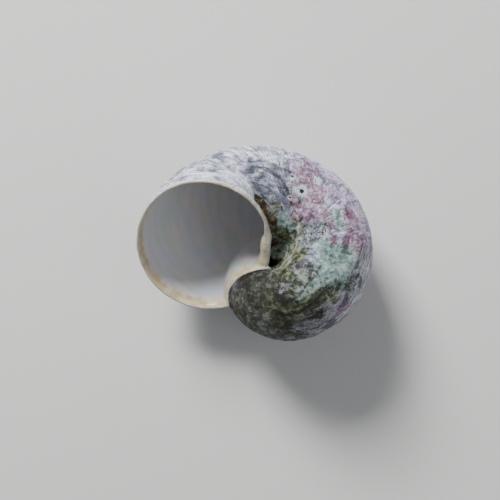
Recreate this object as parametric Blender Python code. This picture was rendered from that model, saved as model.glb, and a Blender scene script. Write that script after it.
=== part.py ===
"""A turban shell: one piece of shell, wound in a right-handed spiral, hollow from its mouth inwards.

It is modelled the way it grew. The lip is drawn once, and every earlier ring of the tube is that lip
turned back about the shell's axis and shrunk towards the apex. The whorls overlap, so the rings are
joined into one solid, and the hollow, a second tube that keeps clear of the whorl before it, is cut
out of them.
"""

import math

import bmesh
import bpy
from mathutils import Matrix, Vector

# Driving sizes, in metres. The shell is drawn with its apex at the origin and its axis down -Z, and
# laid down after.
MOUTH_REACH = 0.012  # from the axis to the middle of the mouth
MOUTH_DROP = 0.0222  # from the apex down to the middle of the mouth
MOUTH_HALF_WIDTH = 0.0114  # of the whorl's section, across the axis
MOUTH_HALF_HEIGHT = 0.0134  # of the whorl's section, along the axis
SECTION_TURN = math.radians(13)  # the section's long side leans out at the bottom
WHORL_GROWTH = 2.3  # how many times larger each whorl is than the one before
LIP_LEAN = math.radians(24)  # the mouth's plane leans towards the base
LIP_TWIST = math.radians(6)  # and a little away from the axis

WALL = 0.0015  # of the last whorl, away from its lip
LIP_WALL = 0.0007
THINNING = 0.12  # turns behind the lip over which the wall thins
CALLUS = 0.0003  # the film that the mouth lays over the whorl before it
COLUMELLA = 0.0026  # from the axis to the hollow, in the last whorl
LIP_COLUMELLA = 0.0018
BLEND_TO_WHORL_BEFORE = 0.08  # parts of the way to the outline over which the hollow's corner is rounded
BLEND_TO_COLUMELLA = 0.06
PILLAR_SLOPE = 0.085  # the pillar's radius for each metre below the apex
PILLAR_START = 0.001  # below the apex
PILLAR_END = 0.0182  # below the apex, in the depth of the umbilicus
PILLAR_CAP = 0.0015
PILLAR_CAP_ANGLE = math.radians(85)  # how far round the cap goes before its flat tip

WHORLS = 4.6
HOLLOW_WHORLS = 1.3
HOLLOW_END = 0.12  # turns over which the inner end of the hollow rounds off
HOLLOW_TIP = 0.15  # the size of its innermost ring, as a part of its full size
BEYOND_LIP = [0.02, 0.05]  # turns past the lip at which the hollow has its last rings
RING_POINTS = 40
RINGS_A_WHORL = 30
RING_STEPS = (1, 1, 2, 2, 2)  # from the lip back, every ring or every second one is made
RING_SHIFT = -0.375  # of the rings behind the lip, in ring spacings, so that the flat is underneath
RING_LEFT_OUT = 7  # of each whorl, which makes the flat
HOLLOW_POINTS = 28
HOLLOW_RINGS = 36
PILLAR_POINTS = 20
PILLAR_CAP_RINGS = 5
LIP_SEARCH = 0.25  # turns to either side of the mouth's middle that hold the whole lip
LIP_HALVINGS = 30

# How it lies: the direction in the drawing that ends on top, and the one that ends along +X.
TOP = Vector((-0.1447, -0.4867, -0.8615))
RIGHT = Vector((-0.987, -0.003, 0.161))

SHELL_COLOUR = (0.40, 0.38, 0.38, 1.0)
SHELL_ROUGHNESS = 0.55

LIP_MIDDLE = Vector((MOUTH_REACH, 0.0, -MOUTH_DROP))
LIP_NORMAL = Vector((
    math.sin(LIP_LEAN) * math.sin(LIP_TWIST),
    -math.cos(LIP_LEAN),
    -math.sin(LIP_LEAN) * math.cos(LIP_TWIST),
))


def section(angle):
    """The whorl's section at an angle, zero being outwards: how far out from its middle, and down."""
    across = MOUTH_HALF_WIDTH * math.cos(angle)
    along = MOUTH_HALF_HEIGHT * math.sin(angle)
    out = across * math.cos(SECTION_TURN) - along * math.sin(SECTION_TURN)
    down = across * math.sin(SECTION_TURN) + along * math.cos(SECTION_TURN)
    return out, down


def place(turn, angle, part=1.0):
    """A point of the ring at this turn, at a part of the way from the section's middle to its outline."""
    size = WHORL_GROWTH ** turn
    out, down = section(angle)
    radius = size * (MOUTH_REACH + part * out)
    heading = -2 * math.pi * turn
    height = -size * (MOUTH_DROP + part * down)
    return Vector((radius * math.cos(heading), radius * math.sin(heading), height))


def lip_turn(angle):
    """The turn at which the tube, growing on at this angle, meets the plane of the mouth."""
    behind, beyond = -LIP_SEARCH, LIP_SEARCH
    for _ in range(LIP_HALVINGS):
        middle = (behind + beyond) / 2
        if (place(middle, angle) - LIP_MIDDLE).dot(LIP_NORMAL) > 0:
            beyond = middle
        else:
            behind = middle
    return (behind + beyond) / 2


def soft_min(a, b, width):
    """The smaller of two numbers, with the change from one to the other rounded over a width."""
    mix = min(1.0, max(0.0, 0.5 + 0.5 * (b - a) / width))
    return b * (1 - mix) + a * mix - width * mix * (1 - mix)


def smooth_step(x):
    """From 0 to 1 as x goes from 0 to 1, without a corner at either end."""
    x = min(1.0, max(0.0, x))
    return x * x * (3 - 2 * x)


def in_whorl_before(out, down):
    """An offset from the section's middle, in half widths of the whorl before it with its callus."""
    across = out * math.cos(SECTION_TURN) + down * math.sin(SECTION_TURN)
    along = -out * math.sin(SECTION_TURN) + down * math.cos(SECTION_TURN)
    return Vector((
        across / (MOUTH_HALF_WIDTH / WHORL_GROWTH + CALLUS),
        along / (MOUTH_HALF_HEIGHT / WHORL_GROWTH + CALLUS),
    ))


def reach_to_whorl_before(angle):
    """The part of the way to the outline at which the whorl before begins, or None if it doesn't."""
    ray = in_whorl_before(*section(angle))
    shift = 1 / WHORL_GROWTH - 1
    middle = in_whorl_before(shift * MOUTH_REACH, shift * MOUTH_DROP)
    squared = ray.dot(ray)
    halfway = ray.dot(middle)
    inside = halfway * halfway - squared * (middle.dot(middle) - 1)
    if inside < 0 or halfway < 0:
        return None
    return (halfway - math.sqrt(inside)) / squared


def hollow_reach(angle, wall, columella):
    """The part of the way to the outline that is hollow."""
    out, down = section(angle)
    reach = 1 - wall / math.hypot(out, down)
    before = reach_to_whorl_before(angle)
    if before is not None:
        reach = soft_min(reach, before, BLEND_TO_WHORL_BEFORE)
    if out < 0:
        reach = soft_min(reach, (MOUTH_REACH - columella) / -out, BLEND_TO_COLUMELLA)
    return reach


def solid(name, rings):
    """A closed solid with one row of faces between each ring and the next, and a flat cap at each end."""
    bm = bmesh.new()
    rows = [[bm.verts.new(point) for point in ring] for ring in rings]
    for row, after in zip(rows, rows[1:]):
        for i in range(len(row)):
            j = (i + 1) % len(row)
            bm.faces.new((row[i], after[i], after[j], row[j]))
    bm.faces.new(rows[0])
    bm.faces.new(rows[-1][::-1])
    bmesh.ops.recalc_face_normals(bm, faces=bm.faces)
    mesh = bpy.data.meshes.new(name)
    bm.to_mesh(mesh)
    bm.free()
    mesh.polygons.foreach_set("use_smooth", [True] * len(mesh.polygons))
    obj = bpy.data.objects.new(name, mesh)
    bpy.context.collection.objects.link(obj)
    return obj


def ring_turns():
    """How many turns before the lip each ring is, from the apex to the lip.

    The whorls have their rings at the same headings, and each is one ring short. That leaves a narrow
    flat from the last whorl towards the apex, on which the shell can lie still.
    """
    turns = [0.0]
    ring = 0
    while ring < WHORLS * RINGS_A_WHORL:
        ring += RING_STEPS[ring // RINGS_A_WHORL]
        if ring % RINGS_A_WHORL != RING_LEFT_OUT:
            turns.append((RING_SHIFT - ring) / RINGS_A_WHORL)
    return turns[::-1]


def whorls():
    """All the whorls as one tube that runs through itself."""
    angles = [2 * math.pi * i / RING_POINTS for i in range(RING_POINTS)]
    lips = [lip_turn(angle) for angle in angles]
    return solid("shell", [
        [place(turn + lip, angle) for lip, angle in zip(lips, angles)] for turn in ring_turns()
    ])


def hollow():
    """The space inside the last whorls, out through the mouth."""
    angles = [2 * math.pi * i / HOLLOW_POINTS for i in range(HOLLOW_POINTS)]
    lips = [lip_turn(angle) for angle in angles]
    turns = [-HOLLOW_WHORLS * (1 - step / HOLLOW_RINGS) for step in range(HOLLOW_RINGS + 1)]
    rings = []
    for turn in turns + BEYOND_LIP:
        near_lip = smooth_step(1 + turn / THINNING)
        wall = WALL + near_lip * (LIP_WALL - WALL)
        columella = COLUMELLA + near_lip * (LIP_COLUMELLA - COLUMELLA)
        inwards = 1 - min(1.0, (turn + HOLLOW_WHORLS) / HOLLOW_END)
        rounding = max(HOLLOW_TIP, math.sqrt(1 - inwards * inwards))
        rings.append([
            place(turn + lip, angle, rounding * hollow_reach(angle, wall, columella))
            for lip, angle in zip(lips, angles)
        ])
    return solid("hollow", rings)


def pillar():
    """The solid pillar on the axis, which widens down to its rounded end in the umbilicus."""
    straight = PILLAR_END - PILLAR_CAP
    profile = [(drop, PILLAR_SLOPE * drop) for drop in (PILLAR_START, straight)]
    for step in range(1, PILLAR_CAP_RINGS + 1):
        angle = PILLAR_CAP_ANGLE * step / PILLAR_CAP_RINGS
        drop = straight + PILLAR_CAP * math.sin(angle)
        profile.append((drop, PILLAR_SLOPE * straight * math.cos(angle)))
    headings = [2 * math.pi * i / PILLAR_POINTS for i in range(PILLAR_POINTS)]
    rings = [
        [Vector((radius * math.cos(heading), radius * math.sin(heading), -drop)) for heading in headings]
        for drop, radius in profile
    ]
    return solid("pillar", rings)


def cut_or_join(body, tool, operation):
    tool.hide_render = True
    tool.display_type = "WIRE"
    modifier = body.modifiers.new(tool.name, "BOOLEAN")
    modifier.operation = operation
    modifier.solver = "EXACT"
    modifier.use_self = operation == "UNION"
    modifier.object = tool


def lay_down(objects, body):
    """Turn everything to how the shell lies, with the middle of its underside's box at the origin."""
    z = TOP.normalized()
    x = (RIGHT - RIGHT.dot(z) * z).normalized()
    turned = Matrix((x, z.cross(x), z)).to_4x4()
    points = [turned @ vertex.co for vertex in body.data.vertices]
    low = [min(point[i] for point in points) for i in range(3)]
    high = [max(point[i] for point in points) for i in range(3)]
    shift = Matrix.Translation((-(low[0] + high[0]) / 2, -(low[1] + high[1]) / 2, -low[2]))
    for obj in objects:
        obj.data.transform(shift @ turned)


def shell_material():
    material = bpy.data.materials.new("shell")
    material.use_nodes = True
    surface = material.node_tree.nodes["Principled BSDF"]
    surface.inputs["Base Color"].default_value = SHELL_COLOUR
    surface.inputs["Roughness"].default_value = SHELL_ROUGHNESS
    surface.inputs["Metallic"].default_value = 0.0
    return material


for leftover in list(bpy.data.objects):
    bpy.data.objects.remove(leftover, do_unlink=True)

shell = whorls()
axis_pillar = pillar()
inside = hollow()
lay_down([shell, axis_pillar, inside], shell)
cut_or_join(shell, axis_pillar, "UNION")
cut_or_join(shell, inside, "DIFFERENCE")
shell.data.materials.append(shell_material())
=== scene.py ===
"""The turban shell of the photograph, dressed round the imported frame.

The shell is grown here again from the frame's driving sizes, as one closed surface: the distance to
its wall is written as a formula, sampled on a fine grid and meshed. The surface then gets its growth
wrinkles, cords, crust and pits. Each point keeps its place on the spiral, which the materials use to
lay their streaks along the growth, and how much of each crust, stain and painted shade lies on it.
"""

import math

import bpy
import numpy as np
from mathutils import Matrix, Vector


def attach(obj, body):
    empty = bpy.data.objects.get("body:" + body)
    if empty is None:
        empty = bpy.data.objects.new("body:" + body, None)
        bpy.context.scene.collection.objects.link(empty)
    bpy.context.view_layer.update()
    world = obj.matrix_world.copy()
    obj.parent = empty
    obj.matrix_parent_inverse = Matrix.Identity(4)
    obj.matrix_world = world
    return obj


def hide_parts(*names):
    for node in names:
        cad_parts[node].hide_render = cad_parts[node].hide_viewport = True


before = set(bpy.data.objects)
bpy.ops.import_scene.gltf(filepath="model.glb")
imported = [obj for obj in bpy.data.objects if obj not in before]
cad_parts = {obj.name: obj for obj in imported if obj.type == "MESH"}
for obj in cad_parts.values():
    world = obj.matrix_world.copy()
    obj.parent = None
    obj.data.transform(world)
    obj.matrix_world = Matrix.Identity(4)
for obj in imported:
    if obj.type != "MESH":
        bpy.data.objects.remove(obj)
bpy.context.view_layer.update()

# The frame's driving sizes, in metres. The apex is at the origin and the axis runs down -Z until the
# shell is laid down. The lip's wall and its columella are a little thinner than the frame's.
MOUTH_REACH = 0.012
MOUTH_DROP = 0.0222
MOUTH_HALF_WIDTH = 0.0114
MOUTH_HALF_HEIGHT = 0.0134
SECTION_TURN = math.radians(13)
WHORL_GROWTH = 2.3
LIP_LEAN = math.radians(24)
LIP_TWIST = math.radians(6)
WALL = 0.0015
LIP_WALL = 0.0006
THINNING = 0.12
CALLUS = 0.0003
COLUMELLA = 0.0026
LIP_COLUMELLA = 0.0016
BLEND_TO_WHORL_BEFORE = 0.08
BLEND_TO_COLUMELLA = 0.06
PILLAR_SLOPE = 0.085
PILLAR_END = 0.0182
HOLLOW_WHORLS = 1.3
HOLLOW_END = 0.12
TOP = Vector((-0.1447, -0.4867, -0.8615))
RIGHT = Vector((-0.987, -0.003, 0.161))

WHORL_NUMBERS = range(5)
SEAM = 0.225  # turns past the mouth at which the count of whorls steps on
CLEAR_OF_LIP = -0.4  # the whorl is well behind the mouth's plane before this turn
RIM_ROUNDING = 0.00035
SUTURE_FILLET = 0.0006
PILLAR_FILLET = 0.0008
FINE = 0.0002  # grid step of the mesh
SLABS = 16  # the grid is worked out in this many parts, to save memory
MOST_TRIANGLES = 190000
NEVER = 9.0  # a reach far past the outline, for directions in which nothing is in the way
LIP_SEARCH = 0.25  # turns to either side of the mouth's middle that hold the whole lip
LIP_HALVINGS = 30
WHORLS = 4.6

MM = 0.001
WANDER_SIZE = 1.6 * MM  # size of the noise that makes the outlines of patches ragged
WANDER = 0.9 * MM
CALLUS_REACH = 0.8 * MM  # how far past the lip's plane the mouth's lining covers the whorl before

LIP_MIDDLE = np.array([MOUTH_REACH, 0.0, -MOUTH_DROP])
LIP_NORMAL = np.array([
    math.sin(LIP_LEAN) * math.sin(LIP_TWIST),
    -math.cos(LIP_LEAN),
    -math.sin(LIP_LEAN) * math.cos(LIP_TWIST),
])


def smooth_step(x):
    x = np.clip(x, 0, 1)
    return x * x * (3 - 2 * x)


def soft_min(a, b, width):
    mix = np.clip(0.5 + 0.5 * (b - a) / width, 0, 1)
    return b * (1 - mix) + a * mix - width * mix * (1 - mix)


def soft_max(a, b, width):
    return -soft_min(-a, -b, width)


# The whorl's section, and where it lies on the spiral.


def section(angle):
    across = MOUTH_HALF_WIDTH * np.cos(angle)
    along = MOUTH_HALF_HEIGHT * np.sin(angle)
    out = across * math.cos(SECTION_TURN) - along * math.sin(SECTION_TURN)
    down = across * math.sin(SECTION_TURN) + along * math.cos(SECTION_TURN)
    return out, down


def in_section(out, down, half_width, half_height):
    across = out * math.cos(SECTION_TURN) + down * math.sin(SECTION_TURN)
    along = -out * math.sin(SECTION_TURN) + down * math.cos(SECTION_TURN)
    return across / half_width, along / half_height


def place(turn, angle):
    """Points of the outline at these turns and angles, as an array with x, y and z last."""
    size = WHORL_GROWTH ** np.asarray(turn, float)
    out, down = section(angle)
    radius = size * (MOUTH_REACH + out)
    heading = -2 * math.pi * np.asarray(turn, float)
    return np.stack([radius * np.cos(heading), radius * np.sin(heading), -size * (MOUTH_DROP + down)], -1)


def lip_turns(angles):
    behind, beyond = np.full_like(angles, -LIP_SEARCH), np.full_like(angles, LIP_SEARCH)
    for _ in range(LIP_HALVINGS):
        middle = (behind + beyond) / 2
        past = (place(middle, angles) - LIP_MIDDLE) @ LIP_NORMAL > 0
        beyond = np.where(past, middle, beyond)
        behind = np.where(past, behind, middle)
    return (behind + beyond) / 2


def reach_to_whorl_before(angles):
    """The part of the way to the outline at which the whorl before begins, or NEVER if it doesn't."""
    half_width = MOUTH_HALF_WIDTH / WHORL_GROWTH + CALLUS
    half_height = MOUTH_HALF_HEIGHT / WHORL_GROWTH + CALLUS
    ray = np.stack(in_section(*section(angles), half_width, half_height))
    shift = 1 / WHORL_GROWTH - 1
    middle = np.array(in_section(shift * MOUTH_REACH, shift * MOUTH_DROP, half_width, half_height))
    squared = (ray ** 2).sum(0)
    halfway = middle @ ray
    inside = halfway ** 2 - squared * (middle @ middle - 1)
    hit = (inside > 0) & (halfway > 0)
    return np.where(hit, (halfway - np.sqrt(np.maximum(inside, 0))) / squared, NEVER)


def hollow_reach(angles, wall, columella):
    out, down = section(angles)
    reach = soft_min(1 - wall / np.hypot(out, down), reach_to_whorl_before(angles), BLEND_TO_WHORL_BEFORE)
    by_axis = np.where(out < 0, (MOUTH_REACH - columella) / np.maximum(-out, 1e-6), NEVER)
    return soft_min(reach, by_axis, BLEND_TO_COLUMELLA)


ANGLES = np.linspace(0, 2 * math.pi, 721)
LIPS = lip_turns(ANGLES)
WALL_REACH = hollow_reach(ANGLES, WALL, COLUMELLA)
LIP_REACH = hollow_reach(ANGLES, LIP_WALL, LIP_COLUMELLA)


def first_turn(x, y):
    """The turn of the last whorl at each point's heading."""
    turn = -np.arctan2(y, x) / (2 * math.pi)
    return np.where(turn > SEAM, turn - 1, turn)


def in_whorl(points, turn):
    """Where points lie in the whorl at these turns.

    Gives the distance to its outline, the distance from its middle, that as a part of the way to the
    outline, the turns behind the lip and the angle.
    """
    x, y, z = points
    size = WHORL_GROWTH ** turn
    out = np.hypot(x, y) / size - MOUTH_REACH
    down = -z / size - MOUTH_DROP
    across, along = in_section(out, down, MOUTH_HALF_WIDTH, MOUTH_HALF_HEIGHT)
    part = np.hypot(across, along) + 1e-6
    steepness = np.hypot(across / MOUTH_HALF_WIDTH, along / MOUTH_HALF_HEIGHT) + 1e-3
    to_outline = size * part * (part - 1) / steepness
    angle = np.arctan2(along, across) % (2 * math.pi)
    grown = turn - np.interp(angle, ANGLES, LIPS)
    return to_outline, size * np.hypot(out, down), part, grown, angle


def to_hollow(from_middle, part, grown, angle):
    near_lip = smooth_step(1 + grown / THINNING)
    in_whorl_reach = np.interp(angle, ANGLES, WALL_REACH)
    at_lip_reach = np.interp(angle, ANGLES, LIP_REACH)
    reach = in_whorl_reach * (1 - near_lip) + at_lip_reach * near_lip
    inwards = np.clip(1 - (grown + HOLLOW_WHORLS) / HOLLOW_END, 0, 1)
    return from_middle * (1 - reach * np.sqrt(1 - inwards ** 2) / part)


def to_lip_plane(points, turn):
    """How far points at these turns are past the lip's plane. Early in the whorl it is never in the way."""
    past = sum(LIP_NORMAL[i] * (points[i] - LIP_MIDDLE[i]) for i in range(3))
    return np.where(turn > CLEAR_OF_LIP, past, -1.0)


def wall_distance(points):
    """How far points, given as x, y and z arrays, are outside the shell's wall, negative inside it."""
    x, y, z = points
    first = first_turn(x, y)
    body = hollow = None
    for number in WHORL_NUMBERS:
        to_outline, from_middle, part, grown, angle = in_whorl(points, first - number)
        if number == 0:
            body = soft_max(to_outline, to_lip_plane(points, first), RIM_ROUNDING)
            hollow = to_hollow(from_middle, part, grown, angle)
            continue
        body = soft_min(body, to_outline, SUTURE_FILLET * WHORL_GROWTH ** (1 - number))
        if number == 1:
            hollow = np.minimum(hollow, to_hollow(from_middle, part, grown, angle))
    pillar = soft_max(np.hypot(x, y) + PILLAR_SLOPE * z, -z - PILLAR_END, PILLAR_FILLET)
    body = soft_min(body, pillar, PILLAR_FILLET)
    return soft_max(body, -hollow, RIM_ROUNDING)


# The mesh: one vertex in each grid cell that the surface passes through, moved onto the surface.


def surface_nets(low, high, step):
    counts = np.ceil((high - low) / step).astype(int) + 1
    axes = [low[i] + step * np.arange(counts[i]) for i in range(3)]
    values = np.concatenate([
        wall_distance(np.meshgrid(slab, axes[1], axes[2], indexing="ij"))
        for slab in np.array_split(axes[0], SLABS)
    ])
    solid = values < 0
    corners = [(i, j, k) for i in (0, 1) for j in (0, 1) for k in (0, 1)]
    filled = sum(
        solid[i:counts[0] - 1 + i, j:counts[1] - 1 + j, k:counts[2] - 1 + k].astype(np.int8)
        for i, j, k in corners
    )
    cells = np.argwhere((filled > 0) & (filled < 8))
    number = np.full(filled.shape, -1)
    number[tuple(cells.T)] = np.arange(len(cells))
    total, crossings = np.zeros((len(cells), 3)), np.zeros(len(cells))
    for start in corners:
        for axis in range(3):
            if start[axis]:
                continue
            along = np.eye(3, dtype=int)[axis]
            here = values[tuple((cells + start).T)]
            there = values[tuple((cells + start + along).T)]
            crosses = (here < 0) != (there < 0)
            share = np.where(crosses, here / np.where(crosses, here - there, 1), 0)
            total += np.where(crosses[:, None], start + along * share[:, None], 0)
            crossings += crosses
    points = (cells + total / crossings[:, None]) * step + low
    faces = []
    for axis in range(3):
        second, third = (axis + 1) % 3, (axis + 2) % 3
        before = [slice(None)] * 3
        after = [slice(None)] * 3
        before[axis], after[axis] = slice(0, -1), slice(1, None)
        edges = np.argwhere(solid[tuple(before)] != solid[tuple(after)])
        ring = []
        for back_second, back_third in ((1, 1), (0, 1), (0, 0), (1, 0)):
            cell = edges.copy()
            cell[:, second] -= back_second
            cell[:, third] -= back_third
            ring.append(number[tuple(cell.T)])
        ring = np.stack(ring, 1)
        inward = ~solid[tuple(edges.T)]
        ring[inward] = ring[inward][:, ::-1]
        faces.append(ring)
    return points, np.concatenate(faces)


def slope(points, reach=2e-5):
    """The distance's rate of change along x, y and z."""
    rates = []
    for axis in range(3):
        offset = np.zeros(3)
        offset[axis] = reach
        rates.append((wall_distance((points + offset).T) - wall_distance((points - offset).T)) / (2 * reach))
    return np.stack(rates, 1)


def onto_surface(points, rounds=3):
    for _ in range(rounds):
        rates = slope(points)
        length = np.maximum((rates ** 2).sum(1), 0.2)
        move = np.clip(wall_distance(points.T), -1e-4, 1e-4) / length
        points = points - rates * move[:, None]
    rates = slope(points)
    return points, rates / np.maximum(np.linalg.norm(rates, axis=1), 1e-6)[:, None]


# Where each point is on the shell, and what grows there.


class Places:
    """Where points are on the shell.

    grown is in turns before the lip, so it is negative, and angle goes round the whorl's section.
    lining is 1 inside the mouth and 0 outside. from_lip is how far behind the lip's plane a point of
    the last whorl is.
    """

    def __init__(self, points):
        self.points = points
        columns = points.T
        first = first_turn(columns[0], columns[1])
        past_lip = to_lip_plane(columns, first)
        nearest, nearest_hollow = np.full(len(points), 1.0), np.full(len(points), 1.0)
        self.grown, self.angle = np.zeros(len(points)), np.zeros(len(points))
        lining_grown, lining_angle = np.zeros(len(points)), np.zeros(len(points))
        on_last = np.zeros(len(points), bool)
        for number in WHORL_NUMBERS:
            to_outline, from_middle, part, grown, angle = in_whorl(columns, first - number)
            if number == 0:
                to_outline = np.maximum(to_outline, past_lip)
            closer = np.abs(to_outline) < nearest
            nearest = np.where(closer, np.abs(to_outline), nearest)
            self.grown, self.angle = np.where(closer, grown, self.grown), np.where(closer, angle, self.angle)
            on_last = np.where(closer, number == 0, on_last)
            if number < 2:
                distance = to_hollow(from_middle, part, grown, angle)
                closer = distance < nearest_hollow
                nearest_hollow = np.where(closer, distance, nearest_hollow)
                lining_grown = np.where(closer, grown, lining_grown)
                lining_angle = np.where(closer, angle, lining_angle)
        self.to_hollow = nearest_hollow
        shifts = [rough_noise(points / WANDER_SIZE, 40 + axis) for axis in range(3)]
        self.wandering = points + WANDER * np.stack(shifts, 1)
        callus = smooth_step((CALLUS_REACH - past_lip + shifts[0] * 0.6 * MM) / (0.3 * MM))
        self.lining = callus * (1 - smooth_step((nearest_hollow - 0.05 * MM) / (0.2 * MM)))
        inside = self.lining > 0.5
        self.grown = np.where(inside, lining_grown, self.grown)
        self.angle = np.where(inside, lining_angle, self.angle)
        self.size = WHORL_GROWTH ** self.grown
        self.from_lip = np.where(on_last | inside, -past_lip, 10 * MM)

    def along_growth(self):
        """Round the section in x and y, and along the growth in z, in millimetres on the shell."""
        around = MOUTH_HALF_WIDTH / MM * self.size
        length = 2 * math.pi * 20 / math.log(WHORL_GROWTH) * self.size
        return np.stack([around * np.cos(self.angle), around * np.sin(self.angle), length], 1)

    def degrees(self):
        """The angle in the section, from -150 to 210 degrees."""
        return (np.degrees(self.angle) + 150) % 360 - 150

    def near(self, turn, degrees, radius):
        """1 within half this many millimetres of a spot given by its turn and angle, falling softly to 0."""
        angle = math.radians(degrees % 360)
        away = np.linalg.norm(self.wandering - place(turn + np.interp(angle, ANGLES, LIPS), angle), axis=1)
        return 1 - smooth_step(away / (radius * MM) - 0.5)


def noise(points, seed):
    """Smooth noise from -1 to 1 with features one unit apart."""
    table = np.random.default_rng(seed).uniform(-1, 1, (32, 32, 32))
    whole = np.floor(points).astype(int)
    mix = smooth_step(points - whole)
    total = 0
    for corner in np.ndindex(2, 2, 2):
        weight = np.prod(np.where(corner, mix, 1 - mix), axis=1)
        total = total + weight * table[tuple(((whole + corner) % 32).T)]
    return total


def rough_noise(points, seed, octaves=3):
    return sum(noise(points * 2 ** i, seed + i) / 2 ** i for i in range(octaves))


def between(value, low, high, edge):
    return smooth_step((value - low) / edge + 0.5) * smooth_step((high - value) / edge + 0.5)


# Patches of crust and stain on the side with the mouth: turns from the lip, degrees, millimetres of radius.
PINK = (
    (-0.270, 46, 1.1), (-0.290, 52, 1.3), (-0.262, 66, 1.3), (-0.291, 68, 1.3), (-0.243, 83, 0.8),
    (-0.265, 95, 1.2), (-0.297, 100, 0.9), (-0.329, 93, 1.4), (-0.349, 84, 1.5), (-0.353, 73, 1.5),
    (-0.324, 76, 1.6), (-0.391, 70, 1.0), (-0.335, 63, 1.5), (-0.420, 40, 1.1), (-0.445, 36, 1.6),
    (-0.477, 38, 1.4), (-0.492, 27, 1.2), (-0.465, 24, 1.4), (-0.438, 63, 0.7), (-0.462, 61, 0.7),
    (-0.612, 354, 1.7),
)
LILAC = (
    (-0.251, 56, 1.3), (-0.275, 40, 1.6), (-0.305, 40, 1.8), (-0.335, 37, 2.0), (-0.355, 46, 1.7),
    (-0.381, 49, 1.3), (-0.391, 32, 2.2), (-0.424, 17, 2.6), (-0.455, 10, 2.2), (-0.350, 20, 2.4),
    (-0.480, 12, 1.6), (-0.674, 63, 1.1), (-0.575, 84, 0.8),
)
MINT = (
    (-0.411, 53, 0.9), (-0.440, 53, 1.2), (-0.474, 66, 1.5), (-0.484, 74, 1.0), (-0.499, 53, 2.0),
    (-0.532, 54, 2.4), (-0.517, 38, 1.7), (-0.550, 37, 2.1), (-0.559, 50, 2.1), (-0.590, 48, 1.5),
    (-0.624, 50, 1.1), (-0.243, 116, 1.3), (-0.309, 114, 0.9), (-0.645, 66, 0.8), (-0.660, 44, 0.8),
)
OLIVE = (
    (-0.300, 128, 2.0), (-0.392, 107, 0.8), (-0.468, 114, 1.0), (-0.532, 93, 1.2), (-0.493, 92, 1.0),
    (-0.596, 115, 1.6), (-0.689, 38, 2.2), (-0.655, 31, 2.2), (-0.691, 16, 2.2), (-0.726, 20, 2.4),
    (-0.654, 16, 1.8), (-0.613, 19, 1.3), (-0.740, 45, 2.2), (-0.158, 113, 0.9), (-0.650, 90, 1.8),
    (-0.560, 130, 1.6),
)
# BROWN: the first seven patches, by the inner lip and the umbilicus, are partly the shell's own brown and
# partly painted shade of the groove there.
BROWN = (
    (-0.052, 117, 1.0), (-0.060, 124, 1.1), (-0.064, 132, 1.1), (-0.070, 142, 1.2), (-0.053, 145, 1.4),
    (-0.161, 170, 1.2), (-0.100, 135, 1.2), (-0.900, 60, 2.4),
)
PEPPER = ((-0.384, 92, 1.4), (-0.437, 84, 1.7), (-0.425, 76, 1.7), (-0.466, 71, 1.1), (-0.440, 96, 1.4))
SLATE = (
    (-0.102, 98, 1.4), (-0.130, 84, 1.8), (-0.150, 88, 2.1), (-0.161, 94, 2.2), (-0.179, 99, 2.3),
    (-0.200, 103, 2.0), (-0.205, 90, 1.8), (-0.225, 92, 1.4), (-0.185, 82, 1.6),
)
PURPLE = (
    (-0.556, 79, 1.0), (-0.576, 64, 1.0), (-0.545, 12, 0.9), (-0.600, 5, 0.8), (-0.560, 0, 0.8),
    (-0.660, 340, 1.2),
)
PITS = (
    (-0.286, 81, 0.42), (-0.249, 74, 0.20), (-0.236, 85, 0.18), (-0.245, 96, 0.18), (-0.222, 70, 0.13),
    (-0.173, 66, 0.12), (-0.330, 86, 0.12), (-0.425, 88, 0.13), (-0.437, 70, 0.13), (-0.575, 59, 0.14),
)
HALO_SIZE = 2.4  # of the pale ring round a pit, in radii of the pit
# Fine lines on the same side, as points along them: turns from the lip and degrees.
RIDGE = (
    (-0.72, 92), (-0.67, 99), (-0.593, 107), (-0.513, 108), (-0.423, 109), (-0.357, 106), (-0.310, 102),
)
PALE_LINES = (
    ((-0.70, 13), (-0.65, 16), (-0.60, 20), (-0.57, 20), (-0.53, 13), (-0.485, 33)),
    ((-0.66, 34), (-0.62, 42), (-0.57, 37), (-0.53, 31)),
    ((-0.075, 88), (-0.079, 100), (-0.085, 109), (-0.103, 114), (-0.130, 119)),
)
DARK_LINES = (
    ((-0.265, 74), (-0.240, 72), (-0.215, 73), (-0.18, 69), (-0.136, 71)),
    ((-0.260, 102), (-0.244, 95), (-0.233, 90), (-0.205, 85), (-0.178, 79), (-0.150, 77)),
    ((-0.68, 40), (-0.64, 50), (-0.59, 56), (-0.545, 60)),
    ((-0.60, 88), (-0.57, 76), (-0.55, 66)),
    ((-0.66, 74), (-0.63, 66), (-0.62, 56)),
    ((-0.72, 25), (-0.68, 22), (-0.63, 30), (-0.60, 33)),
)
LINE_STEPS = 40


def spots(places, patches):
    """1 inside any of the patches and 0 outside them, with soft edges."""
    best = np.zeros(len(places.points))
    for turn, degrees, radius in patches:
        best = np.maximum(best, places.near(turn, degrees, radius))
    return best


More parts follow.
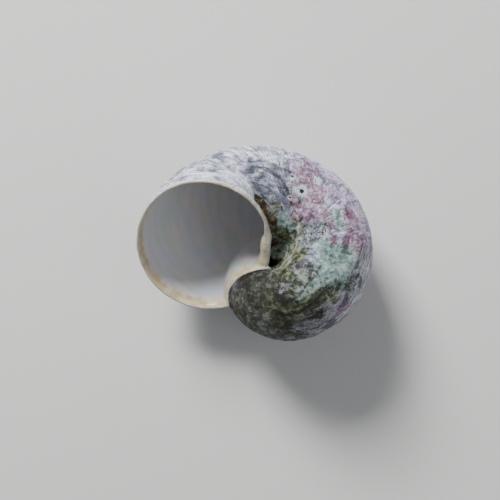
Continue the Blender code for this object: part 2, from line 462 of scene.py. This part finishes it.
def covers(places):
    """How much of each kind of cover, and of the painted shade, lies at each point, from 0 to 1."""
    points = places.points / MM
    outside = 1 - places.lining
    grown = places.grown + 0.06 * rough_noise(points / 5, 50)
    degrees = places.degrees() + 16 * rough_noise(points / 4, 55)
    seen = between(degrees, -40, 215, 24) * between(grown, -0.92, 1, 0.12)
    older = smooth_step((-grown - 0.10) / 0.10)
    unseen = (1 - seen) * older

    def scattered(seed, size, least):
        return unseen * smooth_step((rough_noise(points / size, seed) - least) / 0.35)

    low = smooth_step((-places.grown - 0.46) / 0.16) * seen
    # by_umbilicus lays the dull olive along the umbilical side, partly the shell's own colour and partly
    # painted shade of the groove beside the inner lip.
    by_umbilicus = smooth_step((places.degrees() - 72) / 26) * smooth_step((-places.grown - 0.22) / 0.12)
    by_umbilicus = by_umbilicus * seen
    by_lip = smooth_step((places.degrees() - 98) / 18) * smooth_step((-places.grown - 0.02) / 0.05) * seen
    # shade is painted shade: a near-black laid over the older, lower part of the shell, darker towards the
    # bottom and left of the view, where the key light falls away.
    shade = smooth_step((-places.grown - 0.56) / 0.18) * between(grown, -1.0, 0, 0.14)
    shade = shade * between(degrees, -70, 118, 40) * (0.6 + 0.4 * smooth_step(degrees / 40))
    return {
        "pink": outside * np.maximum(spots(places, PINK), scattered(60, 3.2, 0.05)),
        "lilac": outside * np.maximum(spots(places, LILAC), scattered(63, 4.5, -0.15)),
        "mint": outside * np.maximum(spots(places, MINT), scattered(66, 4.0, 0.15)),
        "olive": outside * np.maximum(spots(places, OLIVE), scattered(69, 3.5, 0.45)),
        "brown": outside * np.maximum(spots(places, BROWN), scattered(72, 3.0, 0.6)),
        "pepper": outside * spots(places, PEPPER),
        "slate": outside * np.maximum(spots(places, SLATE), scattered(75, 3.0, 0.5)),
        "purple": outside * spots(places, PURPLE),
        "rim": outside * between(degrees, -50, 20, 24) * between(grown, -0.70, -0.48, 0.12),
        "dull": outside * np.maximum.reduce([low, by_umbilicus, by_lip, scattered(78, 6.0, 0.2)]),
        "shade": outside * shade,
    }


def on_line(places, line, width):
    """1 on a fine line given by points along it, 0 at this many millimetres from it."""
    shares = np.linspace(0, len(line) - 1, LINE_STEPS)
    turns, degrees = (np.interp(shares, range(len(line)), column) for column in zip(*line))
    angles = np.radians(degrees % 360)
    spine = place(turns + np.interp(angles, ANGLES, LIPS), angles)
    points = places.points + 0.3 * (places.wandering - places.points)
    nearest = np.full(len(points), 1.0)
    for start, end in zip(spine, spine[1:]):
        share = np.clip((points - start) @ (end - start) / ((end - start) @ (end - start)), 0, 1)
        away = np.linalg.norm(points - start - share[:, None] * (end - start), axis=1)
        nearest = np.minimum(nearest, away)
    return 1 - smooth_step(nearest / (width * MM))


def on_lines(places, lines, width):
    return np.max([on_line(places, line, width) for line in lines], axis=0) * (1 - places.lining)


def pits(places):
    """1 in the pits and 0 away from them, and 1 on the pale rings round them."""
    depth, halo = np.zeros(len(places.points)), np.zeros(len(places.points))
    for turn, degrees, radius in PITS:
        angle = math.radians(degrees)
        centre = place(turn + np.interp(angle, ANGLES, LIPS), angle)
        away = np.linalg.norm(places.points - centre, axis=1) / (radius * MM)
        depth = np.maximum(depth, 1 - smooth_step((away - 0.5) / 0.7))
        halo = np.maximum(halo, 1 - smooth_step((away - HALO_SIZE + 0.5) / 0.8))
    return depth, halo


def relief(places, cover):
    """How far the surface stands out at each point, in metres. The heights below are in millimetres."""
    points = places.points / MM
    growth = places.along_growth()
    outside = (1 - places.lining) * smooth_step((places.to_hollow - 0.25 * MM) / (0.35 * MM))
    outside = outside * smooth_step(places.from_lip / (0.5 * MM))
    lumps = 0.10 * rough_noise(points / 4.5, 1) + 0.04 * noise(points / 1.3, 5)
    wrinkles = 0.04 * noise(growth / (5, 5, 0.8), 7) + 0.05 * noise(growth / (9, 9, 2.1), 8)
    drawn_out = np.maximum(cover["rim"], 0.6 * cover["dull"])
    cords = (0.015 + 0.06 * drawn_out) * noise(growth / (0.6, 0.6, 6), 9)
    crust = (cover["pink"] + 0.5 * cover["lilac"]) * (0.08 + 0.07 * noise(points / 0.6, 11))
    crust = crust + 0.04 * cover["mint"]
    lines = 0.13 * on_line(places, RIDGE, 0.42) + 0.08 * on_lines(places, PALE_LINES, 0.4)
    lines = lines - 0.13 * on_lines(places, DARK_LINES, 0.4)
    depth, halo = pits(places)
    pitting = (0.05 * halo - 0.40 * depth) * outside
    return MM * (outside * (lumps + wrinkles + cords + crust + lines) + pitting)


def lip_waves(places):
    """Small moves of the lip's edge in and out of its plane."""
    at_lip = (1 - smooth_step(places.from_lip / (1.5 * MM))) * (places.from_lip < 5 * MM)
    push = 0.16 * MM * at_lip * (rough_noise(places.points / (2.6 * MM), 33) - 0.4)
    return LIP_NORMAL * push[:, None]


def turned():
    """The turn from the drawing's axes to the way the shell lies, as the frame has it."""
    up = TOP.normalized()
    right = (RIGHT - RIGHT.dot(up) * up).normalized()
    return Matrix((right, up.cross(right), up))


def laid_down():
    """The whole move to how the shell lies, with the middle of its underside's box at the origin."""
    turn = turned()
    angles, turns = np.meshgrid(np.radians(np.arange(0, 360, 2)), np.linspace(-WHORLS, 0, 460))
    outline = place(turns + np.interp(angles, ANGLES, LIPS), angles).reshape(-1, 3) @ np.array(turn).T
    low, high = outline.min(0), outline.max(0)
    shift = Vector((-(low[0] + high[0]) / 2, -(low[1] + high[1]) / 2, -low[2]))
    return Matrix.Translation(shift) @ turn.to_4x4()


def mesh_from(name, points, faces):
    mesh = bpy.data.meshes.new(name)
    mesh.vertices.add(len(points))
    mesh.vertices.foreach_set("co", points.astype(np.float32).ravel())
    mesh.loops.add(faces.size)
    mesh.loops.foreach_set("vertex_index", faces.astype(np.int32).ravel())
    mesh.polygons.add(len(faces))
    mesh.polygons.foreach_set("loop_start", np.arange(0, faces.size, 4, dtype=np.int32))
    mesh.update(calc_edges=True)
    mesh.validate()
    return mesh


def thinned(mesh, most):
    """The mesh with its flattest stretches collapsed to at most this many triangles."""
    obj = bpy.data.objects.new("thinning", mesh)
    bpy.context.collection.objects.link(obj)
    triangles = 2 * len(mesh.polygons)
    modifier = obj.modifiers.new("thin", "DECIMATE")
    modifier.ratio = min(1.0, most / triangles)
    result = bpy.data.meshes.new_from_object(obj.evaluated_get(bpy.context.evaluated_depsgraph_get()))
    bpy.data.objects.remove(obj)
    return result


def keep_numbers(mesh, name, values):
    """Store one number or one vector for each point, which the materials read by name."""
    kind, field = ("FLOAT_VECTOR", "vector") if values.ndim == 2 else ("FLOAT", "value")
    attribute = mesh.attributes.new(name, kind, "POINT")
    attribute.data.foreach_set(field, np.ascontiguousarray(values, dtype=np.float32).ravel())


def grow_shell():
    """The shell as one mesh, with its place on the spiral and its covers kept at each point."""
    step = FINE
    angles, turns = np.meshgrid(np.radians(np.arange(0, 360, 3)), np.linspace(-1.2, 0, 200))
    outline = place(turns + np.interp(angles, ANGLES, LIPS), angles).reshape(-1, 3)
    low, high = outline.min(0) - 3 * step, np.maximum(outline.max(0), 0) + 3 * step
    points, faces = surface_nets(low, high, step)
    mesh = thinned(mesh_from("shell", onto_surface(points)[0], faces), MOST_TRIANGLES)
    points = np.empty(3 * len(mesh.vertices))
    mesh.vertices.foreach_get("co", points)
    points, normals = onto_surface(points.reshape(-1, 3), rounds=1)
    places = Places(points)
    cover = covers(places)
    raised = points + normals * relief(places, cover)[:, None] + lip_waves(places)
    mesh.vertices.foreach_set("co", raised.ravel())
    depth, halo = pits(places)
    keep_numbers(mesh, "growth", places.along_growth())
    keep_numbers(mesh, "inside", np.stack([places.lining, places.from_lip / MM, cover["dull"]], 1))
    ridge, pale = on_line(places, RIDGE, 0.27), on_lines(places, PALE_LINES, 0.28)
    keep_numbers(mesh, "marks", np.stack([ridge * (1 - places.lining), depth, halo], 1))
    # The third number kept under "lines" is the painted shade.
    keep_numbers(mesh, "lines", np.stack([pale, on_lines(places, DARK_LINES, 0.42), cover["shade"]], 1))
    keep_numbers(mesh, "crusts", np.stack([cover["pink"], cover["lilac"], cover["mint"]], 1))
    keep_numbers(mesh, "stains", np.stack([cover["olive"], cover["brown"], cover["slate"]], 1))
    keep_numbers(mesh, "specks", np.stack([cover["pepper"], cover["rim"], cover["purple"]], 1))
    mesh.polygons.foreach_set("use_smooth", [True] * len(mesh.polygons))
    mesh.transform(laid_down())
    lowest = min(vertex.co.z for vertex in mesh.vertices)
    mesh.transform(Matrix.Translation((0, 0, -lowest)))
    shell = bpy.data.objects.new("grown_shell", mesh)
    bpy.context.collection.objects.link(shell)
    return shell


# Materials.

# Four tones of each kind of cover from the darkest to the lightest, as sRGB values out of 255.
PALETTES = {
    "chalk": ((96, 98, 114), (152, 158, 178), (198, 206, 222), (240, 244, 252)),
    "lilac_chalk": ((102, 94, 118), (160, 152, 184), (202, 197, 221), (238, 238, 250)),
    "green_chalk": ((92, 100, 98), (148, 160, 158), (194, 206, 204), (234, 240, 238)),
    "dull": ((38, 40, 34), (72, 76, 64), (110, 116, 102), (166, 172, 158)),
    "rim": ((84, 82, 92), (150, 150, 162), (194, 196, 208), (240, 242, 248)),
    "slate": ((50, 54, 66), (98, 103, 118), (142, 146, 162), (206, 208, 220)),
    "olive": ((28, 28, 20), (56, 62, 42), (90, 98, 70), (146, 152, 124)),
    "pepper": ((30, 32, 38), (78, 84, 90), (132, 140, 146), (190, 198, 202)),
    "mint": ((72, 84, 78), (116, 138, 134), (148, 178, 172), (198, 218, 214)),
    "lilac": ((114, 84, 118), (160, 134, 172), (196, 182, 212), (232, 230, 244)),
    "pink": ((82, 62, 76), (130, 100, 122), (158, 130, 152), (200, 188, 208)),
    "brown": ((24, 19, 14), (56, 46, 32), (92, 76, 50), (150, 132, 98)),
}
TONES_FROM, TONES_TO = 0.35, 0.65  # the values of a noise between which the tones run
SWING = 2.4  # how strongly a noise eats into a cover
METRES_TO_MM = (1000, 1000, 1000)
BUMP_STRENGTH = 0.9
BUMP_DEPTH = 0.0004
SPECULAR = 0.3
LINING_ROUGHNESS = 0.20


def colour(red, green, blue):
    """A colour given by its sRGB values out of 255, as the shader's linear numbers."""
    shares = (red / 255, green / 255, blue / 255)
    return (*[((share + 0.055) / 1.055) ** 2.4 for share in shares], 1.0)


class Nodes:
    """Short names for the nodes that a material is made from."""

    def __init__(self, material):
        material.use_nodes = True
        self.tree = material.node_tree
        self.surface = self.tree.nodes["Principled BSDF"]

    def add(self, kind, **settings):
        node = self.tree.nodes.new(kind)
        for name, value in settings.items():
            setattr(node, name, value)
        return node

    def link(self, value, socket):
        if isinstance(value, bpy.types.NodeSocket):
            self.tree.links.new(value, socket)
        else:
            socket.default_value = value

    def numbers(self, name):
        """The vector kept under this name at each point."""
        return self.add("ShaderNodeAttribute", attribute_name=name).outputs["Vector"]

    def parts(self, vector):
        node = self.add("ShaderNodeSeparateXYZ")
        self.link(vector, node.inputs[0])
        return node.outputs

    def math(self, operation, first, second=0.0):
        node = self.add("ShaderNodeMath", operation=operation)
        self.link(first, node.inputs[0])
        self.link(second, node.inputs[1])
        return node.outputs[0]

    def times(self, first, second):
        return self.math("MULTIPLY", first, second)

    def plus(self, first, second):
        return self.math("ADD", first, second)

    def stretch(self, vector, scale, shift=(0, 0, 0)):
        node = self.add("ShaderNodeVectorMath", operation="MULTIPLY_ADD")
        self.link(vector, node.inputs[0])
        self.link(scale, node.inputs[1])
        self.link(shift, node.inputs[2])
        return node.outputs[0]

    def shifted(self, vector, *shift):
        return self.stretch(vector, (1, 1, 1), shift)

    def noise(self, vector, scale=1.0, detail=3.0, roughness=0.55, distortion=0.0):
        node = self.add("ShaderNodeTexNoise")
        self.link(vector, node.inputs["Vector"])
        self.link(scale, node.inputs["Scale"])
        self.link(detail, node.inputs["Detail"])
        self.link(roughness, node.inputs["Roughness"])
        self.link(distortion, node.inputs["Distortion"])
        return node.outputs["Fac"]

    def cells(self, vector, scale):
        node = self.add("ShaderNodeTexVoronoi")
        self.link(vector, node.inputs["Vector"])
        self.link(scale, node.inputs["Scale"])
        return node.outputs["Distance"]

    def ramp(self, value, low, high, from_value=0.0, to_value=1.0):
        node = self.add("ShaderNodeMapRange", interpolation_type="SMOOTHSTEP")
        for socket, number in zip(node.inputs, (value, low, high, from_value, to_value)):
            self.link(number, socket)
        return node.outputs[0]

    def mix(self, amount, first, second):
        node = self.add("ShaderNodeMix", data_type="RGBA")
        self.link(amount, node.inputs[0])
        self.link(first, node.inputs[6])
        self.link(second, node.inputs[7])
        return node.outputs[2]

    def blend(self, *weighted):
        """Several noises added up by their weights, still round one half."""
        total = 0.5
        for value, weight in weighted:
            total = self.plus(total, self.times(self.math("SUBTRACT", value, 0.5), weight))
        return total

    def tones(self, value, palette):
        """The palette's colours, one after the other as the value goes up."""
        node = self.add("ShaderNodeValToRGB")
        self.link(value, node.inputs[0])
        stops = node.color_ramp.elements
        tones = PALETTES[palette]
        for i, tone in enumerate(tones):
            position = TONES_FROM + (TONES_TO - TONES_FROM) * i / (len(tones) - 1)
            stop = stops[i] if i < 2 else stops.new(position)
            stop.position = position
            stop.color = colour(*tone)
        return node.outputs[0]

    def ragged(self, cover, breakup, whole=0.78, edge=0.10):
        """A soft cover cut to a ragged shape, with gaps where it is strong and flecks where it is weak."""
        swing = self.times(self.math("SUBTRACT", breakup, 0.5), SWING)
        shape = self.ramp(self.plus(self.times(cover, whole), swing), 0.5 - edge, 0.5 + edge)
        return self.times(shape, self.ramp(cover, 0.02, 0.12))


def outside_colour(n, growth, place_mm):
    """The weathered outside: chalk with growth lines, then the stains and crusts, one over the other, then
    painted shade over the lower part and in the pits.
    """
    ridge, pit, halo = n.parts(n.numbers("marks"))
    pale, dark, shade = n.parts(n.numbers("lines"))
    pink, lilac, mint = n.parts(n.numbers("crusts"))
    olive, brown, slate = n.parts(n.numbers("stains"))
    pepper, rim, purple = n.parts(n.numbers("specks"))
    dull = n.parts(n.numbers("inside"))[2]

    growth_lines = n.noise(n.stretch(growth, (0.20, 0.20, 1.3)), detail=6, roughness=0.75, distortion=0.8)
    hair_lines = n.noise(n.stretch(growth, (0.7, 0.7, 3.6)), detail=4, roughness=0.7, distortion=0.8)
    spiral_lines = n.noise(n.stretch(growth, (1.6, 1.6, 0.28)), detail=6, roughness=0.75, distortion=1.0)
    blotches = n.noise(place_mm, 0.35, detail=6, roughness=0.65, distortion=0.6)
    tints = n.noise(n.shifted(place_mm, 3, 91, 45), 0.28, detail=4, roughness=0.6)
    mottle = n.noise(place_mm, 1.0, detail=7, roughness=0.72, distortion=0.4)
    mottle_too = n.noise(n.shifted(place_mm, 31, 17, 53), 1.2, detail=7, roughness=0.74, distortion=0.4)
    crumbs = n.noise(n.shifted(place_mm, 7, 71, 23), 2.2, detail=6, roughness=0.75)
    grit = n.noise(place_mm, 4.2, detail=4, roughness=0.8)
    flecking = n.noise(n.shifted(place_mm, 57, 5, 19), 1.7, detail=4, roughness=0.6, distortion=0.5)
    specks = n.cells(n.shifted(place_mm, 13, 29, 3), 2.4)

    worn = n.blend((growth_lines, 1.2), (hair_lines, 0.6), (mottle, 0.9), (grit, 0.3), (blotches, 0.7))
    chalk = n.tones(worn, "chalk")
    lilac_chalk = n.tones(worn, "lilac_chalk")
    green_chalk = n.tones(worn, "green_chalk")
    surface = n.mix(n.ramp(tints, 0.52, 0.60, 0.0, 0.75), chalk, lilac_chalk)
    surface = n.mix(n.ramp(tints, 0.46, 0.38, 0.0, 0.70), surface, green_chalk)

    streaks = n.blend(
        (hair_lines, 0.4), (spiral_lines, 0.6), (mottle_too, 1.1), (grit, 0.2), (blotches, 0.9),
    )
    # The dull olive: the shell's own colour, and by the umbilicus partly painted shade of the groove there.
    dull_tone = n.tones(streaks, "dull")
    surface = n.mix(n.ragged(dull, mottle, 1.1, 0.25), surface, dull_tone)
    washed = n.times(dull, n.ramp(n.blend((blotches, 1.0), (mottle_too, 0.8)), 0.54, 0.66, 0.0, 0.65))
    surface = n.mix(washed, surface, colour(150, 162, 160))

    wrinkles = n.blend((spiral_lines, 1.2), (crumbs, 0.5), (grit, 0.5))
    rim_tone = n.tones(wrinkles, "rim")
    surface = n.mix(n.ragged(rim, mottle_too, 1.15, 0.25), surface, rim_tone)

    lines = n.blend((spiral_lines, 0.9), (blotches, 0.7), (mottle, 0.5), (hair_lines, 0.3))
    slate_tone = n.tones(lines, "slate")
    slate_gaps = n.blend((mottle, 0.6), (growth_lines, 0.6))
    surface = n.mix(n.ragged(slate, slate_gaps, 0.85, 0.4), surface, slate_tone)

    green = n.tones(streaks, "olive")
    surface = n.mix(n.ragged(olive, mottle_too, 0.72, 0.3), surface, green)

    speckled = n.blend((grit, 1.3), (mottle, 1.0))
    pepper_tone = n.tones(speckled, "pepper")
    surface = n.mix(n.ragged(pepper, mottle, 0.9, 0.2), surface, pepper_tone)

    flaking = n.blend((crumbs, 0.6), (hair_lines, 0.5), (mottle, 0.9), (grit, 0.2), (blotches, 0.5))
    clouded = n.blend((mottle, 1.0), (blotches, 0.6), (crumbs, 0.3))
    mint_tone = n.tones(clouded, "mint")
    surface = n.mix(n.ragged(mint, mottle_too, 0.95, 0.34), surface, mint_tone)

    lilac_tone = n.tones(flaking, "lilac")
    surface = n.mix(n.ragged(lilac, n.blend((mottle, 1.0), (crumbs, 0.4)), 0.7, 0.3), surface, lilac_tone)

    pink_tone = n.tones(flaking, "pink")
    surface = n.mix(n.ragged(pink, n.blend((mottle_too, 0.9), (crumbs, 0.4)), 1.0, 0.36), surface, pink_tone)
    on_pink = n.math("MAXIMUM", pink, n.times(lilac, 0.7))
    flecks = n.ramp(n.blend((flecking, 1.0), (crumbs, 0.4)), 0.58, 0.70, 0.0, 0.75)
    surface = n.mix(n.times(flecks, on_pink), surface, colour(228, 222, 234))

    # Brown: the shell's own brown stains, and by the inner lip and umbilicus partly painted shade of the
    # groove there.
    brown_tone = n.tones(streaks, "brown")
    surface = n.mix(n.ragged(brown, mottle, 1.2, 0.45), surface, brown_tone)
    surface = n.mix(n.times(n.ragged(purple, mottle, 0.9, 0.2), 0.75), surface, colour(66, 58, 78))

    broken = n.ramp(n.blend((grit, 0.8), (crumbs, 0.6)), 0.36, 0.50)
    surface = n.mix(n.times(ridge, n.plus(broken, 0.15)), surface, colour(186, 184, 164))
    surface = n.mix(n.times(n.times(pale, broken), 0.7), surface, colour(172, 172, 156))
    surface = n.mix(n.times(n.times(dark, n.plus(broken, 0.3)), 0.9), surface,
                    colour(56, 54, 50))
    surface = n.mix(n.times(n.ramp(specks, 0.20, 0.08), n.ramp(mottle_too, 0.48, 0.56)), surface,
                    colour(42, 40, 46))
    # Painted shade: a near-black laid over the older, lower part of the shell, darker towards the bottom and
    # left of the view.
    surface = n.mix(n.times(shade, n.ramp(mottle, 0.34, 0.60, 0.95, 0.65)), surface, colour(26, 26, 19))
    surface = n.mix(n.times(halo, n.ramp(crumbs, 0.34, 0.52, 0.2, 0.9)), surface, colour(206, 212, 220))
    # The pits are painted dark: painted shade inside the holes.
    surface = n.mix(n.ramp(pit, 0.2, 0.55), surface, colour(36, 48, 52))
    return surface, n.blend((mottle, 1.0), (blotches, 1.0), (crumbs, 0.6), (hair_lines, 0.4)), crumbs


def inside_colour(n, growth, place_mm, from_lip):
    """The mouth's lining: pearl deep inside, and a cream border behind the lip."""
    waves = n.noise(n.stretch(growth, (0.10, 0.10, 0.55)), detail=3, distortion=0.8)
    clouds = n.noise(place_mm, 0.22, detail=2)
    # The pearl's faint green, pink and blue tints, in waves along the growth and in clouds, are painted
    # iridescence, a sheen put into the colour over the lining's own pale white.
    pearl = n.mix(n.ramp(waves, 0.38, 0.62), colour(214, 222, 216), colour(236, 226, 226))
    pearl = n.mix(n.ramp(clouds, 0.42, 0.62, 0.0, 0.6), pearl, colour(216, 220, 234))
    stains = n.noise(place_mm, 0.8, detail=4)
    cream = n.mix(n.ramp(stains, 0.35, 0.65), colour(206, 187, 144), colour(228, 216, 186))
    reach = n.plus(from_lip, n.times(stains, 2.4))
    return n.mix(n.ramp(reach, 3.6, 2.2), pearl, cream)


def shell_material():
    material = bpy.data.materials.new("weathered_shell")
    n = Nodes(material)
    place_mm = n.stretch(n.add("ShaderNodeTexCoord").outputs["Object"], METRES_TO_MM)
    growth = n.numbers("growth")
    lining, from_lip, _ = n.parts(n.numbers("inside"))
    surface, texture, crumbs = outside_colour(n, growth, place_mm)
    surface = n.mix(n.ramp(from_lip, 0.7, 0.2), surface, colour(226, 220, 204))
    surface = n.mix(lining, surface, inside_colour(n, growth, place_mm, from_lip))
    n.link(surface, n.surface.inputs["Base Color"])

    rough = n.ramp(crumbs, 0.3, 0.7, 0.45, 0.80)
    n.link(n.ramp(lining, 0.2, 0.8, rough, LINING_ROUGHNESS), n.surface.inputs["Roughness"])
    height = n.times(texture, n.math("SUBTRACT", 1.0, lining))
    bump = n.add("ShaderNodeBump")
    bump.inputs["Strength"].default_value = BUMP_STRENGTH
    bump.inputs["Distance"].default_value = BUMP_DEPTH
    n.link(height, bump.inputs["Height"])
    n.link(bump.outputs[0], n.surface.inputs["Normal"])
    n.surface.inputs["Specular IOR Level"].default_value = SPECULAR
    return material


def floor_material():
    material = bpy.data.materials.new("pale_floor")
    n = Nodes(material)
    n.surface.inputs["Base Color"].default_value = colour(214, 213, 210)
    n.surface.inputs["Roughness"].default_value = 0.8
    return material


# The floor, the lights and the camera.

FLOOR_REACH = 3.0
LIGHTS_AIM = (0, 0, 0.012)
KEY = {"place_m": (-0.18, 0.37, 0.31), "power": 5.2, "size": 0.18, "tint": (1.0, 1.0, 1.0)}
FILL = {"place_m": (0.35, -0.10, 0.40), "power": 0.5, "size": 0.40, "tint": (0.95, 0.97, 1.0)}
WORLD_TINT = (0.80, 0.83, 0.88, 1.0)
WORLD_STRENGTH = 0.28


def add_floor():
    mesh = bpy.data.meshes.new("floor")
    reach = FLOOR_REACH
    corners = [(-reach, -reach, 0), (reach, -reach, 0), (reach, reach, 0), (-reach, reach, 0)]
    mesh.from_pydata(corners, [], [(0, 1, 2, 3)])
    mesh.materials.append(floor_material())
    floor = bpy.data.objects.new("floor", mesh)
    bpy.context.collection.objects.link(floor)


def add_light(name, place_m, power, size, tint):
    light = bpy.data.lights.new(name, "AREA")
    light.energy = power
    light.size = size
    light.color = tint
    obj = bpy.data.objects.new(name, light)
    obj.location = place_m
    obj.rotation_euler = (Vector(LIGHTS_AIM) - Vector(place_m)).to_track_quat("-Z", "Y").to_euler()
    bpy.context.collection.objects.link(obj)


def add_lights():
    add_light("key", **KEY)
    add_light("fill", **FILL)
    world = bpy.data.worlds.new("studio")
    world.use_nodes = True
    world.node_tree.nodes["Background"].inputs[0].default_value = WORLD_TINT
    world.node_tree.nodes["Background"].inputs[1].default_value = WORLD_STRENGTH
    bpy.context.scene.world = world


# The camera's place and axes are given in the drawing, so that it keeps its view of the shell.
CAMERA_PLACE = Vector((-0.02206, -0.09831, -0.18086))
CAMERA_RIGHT = Vector((-0.98820, -0.00789, 0.15294))
CAMERA_BACK = Vector((-0.12738, -0.51201, -0.84948))
SENSOR = 36.0
FOCAL_LENGTH = 82.34
PHOTO_SIDE = 500
AIM_PIXEL = (264.2, 252.7)  # the photograph's pixel that the camera points at


def add_camera():
    data = bpy.data.cameras.new("camera")
    data.sensor_width = SENSOR
    data.lens = FOCAL_LENGTH
    data.shift_x = (PHOTO_SIDE / 2 - AIM_PIXEL[0]) / PHOTO_SIDE
    data.shift_y = (AIM_PIXEL[1] - PHOTO_SIDE / 2) / PHOTO_SIDE
    data.clip_start = 0.01
    camera = bpy.data.objects.new("camera", data)
    back = CAMERA_BACK.normalized()
    right = (CAMERA_RIGHT - CAMERA_RIGHT.dot(back) * back).normalized()
    axes = Matrix((right, back.cross(right), back)).transposed()
    camera.matrix_world = laid_down() @ Matrix.Translation(CAMERA_PLACE) @ axes.to_4x4()
    bpy.context.collection.objects.link(camera)
    bpy.context.scene.camera = camera


shell = grow_shell()
shell.data.materials.clear()
shell.data.materials.append(shell_material())
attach(shell, "root")
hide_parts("shell")
add_floor()
add_lights()
add_camera()
